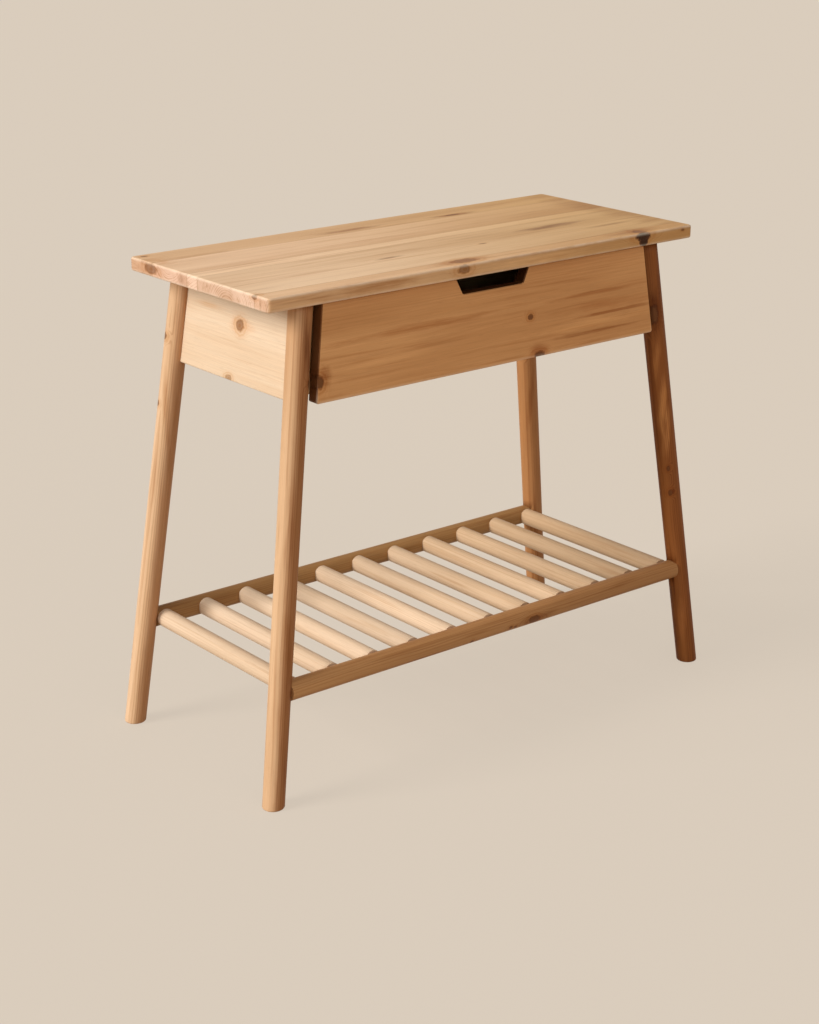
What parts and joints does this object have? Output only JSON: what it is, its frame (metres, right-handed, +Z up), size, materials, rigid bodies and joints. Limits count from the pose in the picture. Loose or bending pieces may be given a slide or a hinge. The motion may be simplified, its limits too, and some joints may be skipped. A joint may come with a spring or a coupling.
{
  "type": "telephone table",
  "caption": "Pine telephone table with splayed round legs, a leaning drawer front with a finger slot in its top edge, and a low shelf of round rungs.",
  "frame": {"origin": "on the floor under the middle of the table", "axes": "+X along the top to the right of someone facing the drawer, -Y towards that person, which is the way the drawer opens, +Z up"},
  "size_m": [0.8728, 0.4036, 0.73],
  "materials": {
    "pine_top": "clear matt lacquer on edge-glued pine",
    "pine_leg": "clear matt lacquer on turned pine",
    "pine_rail": "clear matt lacquer on turned pine",
    "pine_rung": "clear matt lacquer on turned pine",
    "pine_apron": "clear matt lacquer on planed pine",
    "pine_front": "clear matt lacquer on planed pine",
    "pine_inner": "planed pine without lacquer",
    "plywood": "sanded thin plywood",
    "beech_dowel": "plain beech",
    "zinc_screw": "zinc-plated steel"
  },
  "bodies": {
    "frame": {"back_panel": "pine_apron", "back_panel_dowels": "beech_dowel", "back_panel_top_dowels": "beech_dowel", "drawer_guide_left": "pine_inner", "drawer_guide_right": "pine_inner", "drawer_kicker_left": "pine_inner", "drawer_kicker_right": "pine_inner", "drawer_runner_left": "pine_inner", "drawer_runner_right": "pine_inner", "drawer_stop_left": "pine_inner", "drawer_stop_right": "pine_inner", "guide_screws_left": "zinc_screw", "guide_screws_right": "zinc_screw", "kicker_screws_left": "zinc_screw", "kicker_screws_right": "zinc_screw", "leg_back_left": "pine_leg", "leg_back_right": "pine_leg", "leg_front_left": "pine_leg", "leg_front_right": "pine_leg", "runner_screws_left": "zinc_screw", "runner_screws_right": "zinc_screw", "shelf_rail_back": "pine_rail", "shelf_rail_front": "pine_rail", "shelf_rung_01": "pine_rung", "shelf_rung_02": "pine_rung", "shelf_rung_03": "pine_rung", "shelf_rung_04": "pine_rung", "shelf_rung_05": "pine_rung", "shelf_rung_06": "pine_rung", "shelf_rung_07": "pine_rung", "shelf_rung_08": "pine_rung", "shelf_rung_09": "pine_rung", "shelf_rung_10": "pine_rung", "shelf_rung_11": "pine_rung", "side_panel_dowels_left": "beech_dowel", "side_panel_dowels_right": "beech_dowel", "side_panel_left": "pine_apron", "side_panel_right": "pine_apron", "stop_screw_left": "zinc_screw", "stop_screw_right": "zinc_screw", "top_panel": "pine_top"},
    "drawer": {"drawer_back": "pine_inner", "drawer_back_screws_left": "zinc_screw", "drawer_back_screws_right": "zinc_screw", "drawer_bottom": "plywood", "drawer_bottom_screws": "zinc_screw", "drawer_front": "pine_front", "drawer_front_dowels_left": "beech_dowel", "drawer_front_dowels_right": "beech_dowel", "drawer_side_left": "pine_inner", "drawer_side_right": "pine_inner"}
  },
  "joints": [
    {"name": "drawer_slide", "type": "slide", "parent": "frame", "child": "drawer", "axis": [0, -1, 0], "range_m": [0, 0.2]}
  ]
}
